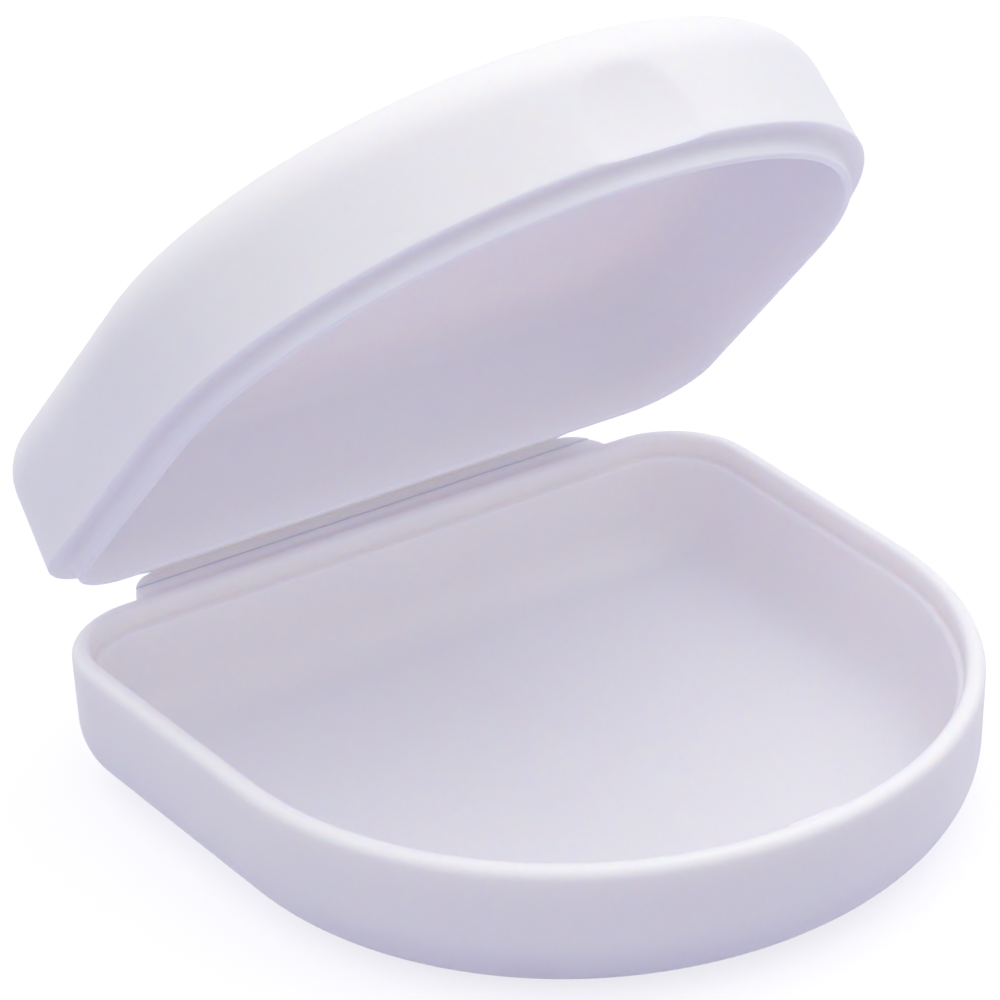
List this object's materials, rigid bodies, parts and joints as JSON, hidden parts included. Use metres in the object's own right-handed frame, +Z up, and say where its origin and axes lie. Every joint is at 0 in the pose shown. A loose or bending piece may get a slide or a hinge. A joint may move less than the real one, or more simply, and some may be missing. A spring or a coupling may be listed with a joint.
{
  "type": "denture box",
  "caption": "One-piece moulded denture box: D-shaped tray and matching lid joined along their flat rear edges by a living hinge, standing open.",
  "frame": {"origin": "on the tray's flat underside, at the middle of the plan outline", "axes": "+Z up, -Y towards the rounded front where the box opens, +Y towards the hinge, +X along the hinge to the right seen from the front"},
  "size_m": [0.0796, 0.0825, 0.0782],
  "materials": {
    "tray_plastic": "satin-gloss moulded polypropylene, pale lavender white",
    "lid_plastic": "satin-gloss moulded polypropylene, pale lavender white",
    "web_plastic": "thin flexed polypropylene of the same moulding"
  },
  "bodies": {
    "tray": {"base_tray": "tray_plastic", "hinge_web": "web_plastic"},
    "lid": {"lid_shell": "lid_plastic"}
  },
  "joints": [
    {"name": "lid_hinge", "type": "hinge", "parent": "tray", "child": "lid", "pos_m": [0, 0.0402, 0.0147], "axis": [-1, 0, 0], "range_deg": [-47, 133]}
  ]
}
